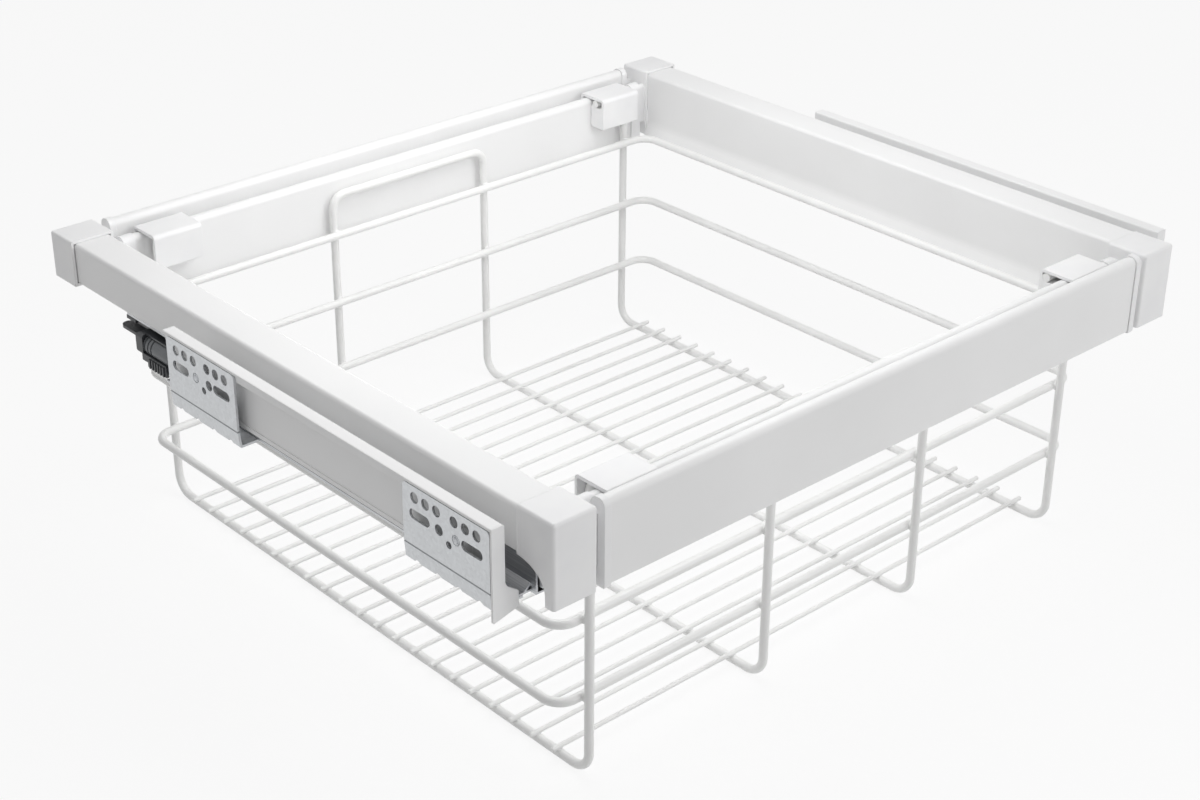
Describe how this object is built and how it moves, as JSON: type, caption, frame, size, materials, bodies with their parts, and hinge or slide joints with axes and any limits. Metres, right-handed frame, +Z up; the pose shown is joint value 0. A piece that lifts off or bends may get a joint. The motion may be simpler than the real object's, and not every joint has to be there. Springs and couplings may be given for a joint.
{
  "type": "pull-out wire basket",
  "caption": "Wire basket hung by clips in a rectangular frame that pulls out of a cabinet on concealed soft-close runners, with bolt-on side brackets and cover strips.",
  "frame": {"origin": "under the middle of the object, level with the underside of the basket", "axes": "+X to the right seen from the front, +Y to the back of the cabinet, +Z up; the drawer pulls out along -Y"},
  "size_m": [0.564, 0.483, 0.2009],
  "materials": {
    "wire_coating": "white plastic-coated steel wire, satin",
    "white_frame": "white powder coat on extruded section, satin",
    "white_moulding": "white moulded plastic, fine satin",
    "galvanised_steel": "galvanised sheet, dull",
    "runner_steel": "zinc-plated pressed sheet",
    "roller_steel": "ground steel",
    "cage_plastic": "moulded plastic",
    "damper_grey": "dark grey moulded plastic",
    "holder_black": "black moulded plastic",
    "screw_steel": "zinc-plated",
    "rivet_steel": "plain"
  },
  "bodies": {
    "cabinet_sides": {"front_mounting_bracket_left": "galvanised_steel", "front_mounting_bracket_right": "galvanised_steel", "rear_mounting_bracket_left": "galvanised_steel", "rear_mounting_bracket_right": "galvanised_steel", "cabinet_rail_left": "runner_steel", "cabinet_rail_right": "runner_steel", "cover_strip_left": "white_frame", "cover_strip_right": "white_frame", "cover_strip_end_left": "white_moulding", "cover_strip_end_right": "white_moulding", "damper_left": "damper_grey", "damper_right": "damper_grey", "damper_holder_left": "holder_black", "damper_holder_right": "holder_black", "cover_strip_holders": "white_moulding", "bracket_rivets": "rivet_steel", "rail_rivets": "rivet_steel"},
    "drawer": {"side_rail_left": "white_frame", "side_rail_right": "white_frame", "front_corner_block_left": "white_moulding", "front_corner_block_right": "white_moulding", "back_corner_cap_left": "white_moulding", "back_corner_cap_right": "white_moulding", "front_panel_end_cap_left": "white_moulding", "front_panel_end_cap_right": "white_moulding", "back_panel_end_cap_left": "white_moulding", "back_panel_end_cap_right": "white_moulding", "front_panel_connector_left": "white_moulding", "front_panel_connector_right": "white_moulding", "back_panel_connector_left": "white_moulding", "back_panel_connector_right": "white_moulding", "drawer_rail_left": "runner_steel", "drawer_rail_right": "runner_steel", "front_panel": "white_frame", "back_panel": "white_frame", "front_corner_screws": "screw_steel", "back_corner_screws": "screw_steel", "runner_screws": "screw_steel"},
    "basket": {"front_basket_clip_left": "white_moulding", "front_basket_clip_right": "white_moulding", "back_basket_clip_left": "white_moulding", "back_basket_clip_right": "white_moulding", "basket_side_frame_left": "wire_coating", "basket_side_frame_right": "wire_coating", "basket_middle_loop": "wire_coating", "basket_ring_lower": "wire_coating", "basket_ring_middle": "wire_coating", "basket_ring_upper": "wire_coating", "basket_floor_wires": "wire_coating"},
    "left_middle_rail": {"middle_rail_left": "runner_steel"},
    "left_outer_rollers": {"outer_roller_cage_left": "cage_plastic", "outer_rollers_left": "roller_steel"},
    "left_inner_rollers": {"inner_roller_cage_left": "cage_plastic", "inner_rollers_left": "roller_steel"},
    "right_middle_rail": {"middle_rail_right": "runner_steel"},
    "right_outer_rollers": {"outer_roller_cage_right": "cage_plastic", "outer_rollers_right": "roller_steel"},
    "right_inner_rollers": {"inner_roller_cage_right": "cage_plastic", "inner_rollers_right": "roller_steel"}
  },
  "joints": [
    {"name": "drawer_slide", "type": "slide", "parent": "cabinet_sides", "child": "drawer", "axis": [0, -1, 0], "range_m": [0, 0.34]},
    {"name": "basket_lift", "type": "slide", "parent": "drawer", "child": "basket", "axis": [0, 0, 1], "range_m": [0, 0.2]},
    {"name": "left_middle_rail_slide", "type": "slide", "parent": "cabinet_sides", "child": "left_middle_rail", "axis": [0, -1, 0], "range_m": [0, 0.17]},
    {"name": "left_outer_rollers_slide", "type": "slide", "parent": "cabinet_sides", "child": "left_outer_rollers", "axis": [0, -1, 0], "range_m": [0, 0.085]},
    {"name": "left_inner_rollers_slide", "type": "slide", "parent": "left_middle_rail", "child": "left_inner_rollers", "axis": [0, -1, 0], "range_m": [0, 0.085]},
    {"name": "right_middle_rail_slide", "type": "slide", "parent": "cabinet_sides", "child": "right_middle_rail", "axis": [0, -1, 0], "range_m": [0, 0.17]},
    {"name": "right_outer_rollers_slide", "type": "slide", "parent": "cabinet_sides", "child": "right_outer_rollers", "axis": [0, -1, 0], "range_m": [0, 0.085]},
    {"name": "right_inner_rollers_slide", "type": "slide", "parent": "right_middle_rail", "child": "right_inner_rollers", "axis": [0, -1, 0], "range_m": [0, 0.085]}
  ],
  "couplings": [
    {"joint": "left_middle_rail_slide", "follows": "drawer_slide", "ratio": 0.5},
    {"joint": "left_outer_rollers_slide", "follows": "drawer_slide", "ratio": 0.25},
    {"joint": "left_inner_rollers_slide", "follows": "drawer_slide", "ratio": 0.25},
    {"joint": "right_middle_rail_slide", "follows": "drawer_slide", "ratio": 0.5},
    {"joint": "right_outer_rollers_slide", "follows": "drawer_slide", "ratio": 0.25},
    {"joint": "right_inner_rollers_slide", "follows": "drawer_slide", "ratio": 0.25}
  ]
}
